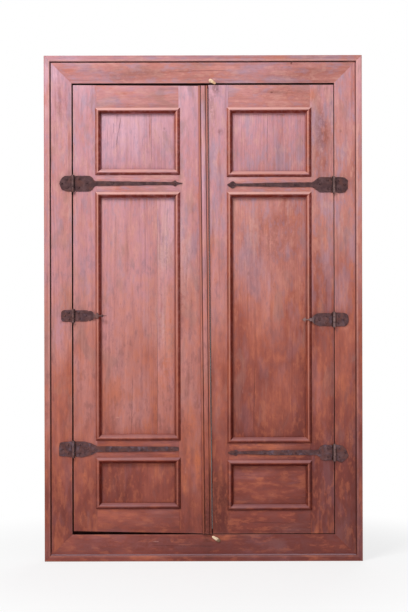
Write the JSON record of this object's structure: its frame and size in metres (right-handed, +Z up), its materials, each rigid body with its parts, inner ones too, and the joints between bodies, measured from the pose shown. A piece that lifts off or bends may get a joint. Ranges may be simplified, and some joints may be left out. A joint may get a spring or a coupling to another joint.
{
  "type": "framed cupboard door",
  "caption": "Panelled wooden cupboard door leaves on forged iron strap hinges in a mitred frame with a raised edge moulding, held shut by brass turn buttons.",
  "frame": {"origin": "centre of the sill's underside, halfway through the frame's depth", "axes": "+Z up along the jambs, +X to the viewer's right, +Y from the front face towards the wall"},
  "size_m": [1.05, 0.0583, 1.67],
  "materials": {
    "frame_wood": "worn red-brown paint over pine",
    "leaf_wood": "worn red-brown paint over pine",
    "panel_wood": "worn red-brown paint over pine",
    "moulding_wood": "worn red-brown paint, rubbed on the crest",
    "iron": "hand-forged, dark and matt",
    "brass": "pale and dull"
  },
  "bodies": {
    "frame": {"button_screws": "brass", "edge_mould_head": "frame_wood", "edge_mould_left": "frame_wood", "edge_mould_right": "frame_wood", "edge_mould_sill": "frame_wood", "frame_head": "frame_wood", "frame_left_jamb": "frame_wood", "frame_pegs": "frame_wood", "frame_plate_nails": "iron", "frame_right_jamb": "frame_wood", "frame_sill": "frame_wood", "left_bottom_frame_plate": "iron", "left_hinge_pins": "iron", "left_middle_frame_plate": "iron", "left_top_frame_plate": "iron", "right_bottom_frame_plate": "iron", "right_hinge_pins": "iron", "right_middle_frame_plate": "iron", "right_top_frame_plate": "iron"},
    "left_leaf": {"left_bottom_moulding": "moulding_wood", "left_bottom_panel": "panel_wood", "left_bottom_rail": "leaf_wood", "left_bottom_strap": "iron", "left_closing_post": "leaf_wood", "left_hinge_stile": "leaf_wood", "left_lower_rail": "leaf_wood", "left_meeting_stile": "leaf_wood", "left_middle_moulding": "moulding_wood", "left_middle_panel_inner_board": "panel_wood", "left_middle_panel_outer_board": "panel_wood", "left_middle_strap": "iron", "left_strap_nails": "iron", "left_top_moulding": "moulding_wood", "left_top_panel": "panel_wood", "left_top_rail": "leaf_wood", "left_top_strap": "iron", "left_upper_rail": "leaf_wood"},
    "right_leaf": {"right_bottom_moulding": "moulding_wood", "right_bottom_panel": "panel_wood", "right_bottom_rail": "leaf_wood", "right_bottom_strap": "iron", "right_hinge_stile": "leaf_wood", "right_lower_rail": "leaf_wood", "right_meeting_stile": "leaf_wood", "right_middle_moulding": "moulding_wood", "right_middle_panel": "panel_wood", "right_middle_strap": "iron", "right_strap_nails": "iron", "right_top_moulding": "moulding_wood", "right_top_panel": "panel_wood", "right_top_rail": "leaf_wood", "right_top_strap": "iron", "right_upper_rail": "leaf_wood"},
    "top_button": {"top_turn_button": "brass"},
    "bottom_button": {"bottom_turn_button": "brass"}
  },
  "joints": [
    {"name": "left_leaf_hinge", "type": "hinge", "parent": "frame", "child": "left_leaf", "pos_m": [-0.429, -0.0288, 0.835], "axis": [0, 0, -1], "range_deg": [0, 170]},
    {"name": "right_leaf_hinge", "type": "hinge", "parent": "frame", "child": "right_leaf", "pos_m": [0.4313, -0.0288, 0.835], "axis": [0, 0, 1], "range_deg": [0, 170]},
    {"name": "top_button_turn", "type": "hinge", "parent": "frame", "child": "top_button", "pos_m": [0.0255, -0.0246, 1.587], "axis": [0, 1, 0], "range_deg": [-65, 58]},
    {"name": "bottom_button_turn", "type": "hinge", "parent": "frame", "child": "bottom_button", "pos_m": [0.049, -0.0246, 0.0685], "axis": [0, 1, 0], "range_deg": [-60, 58]}
  ]
}
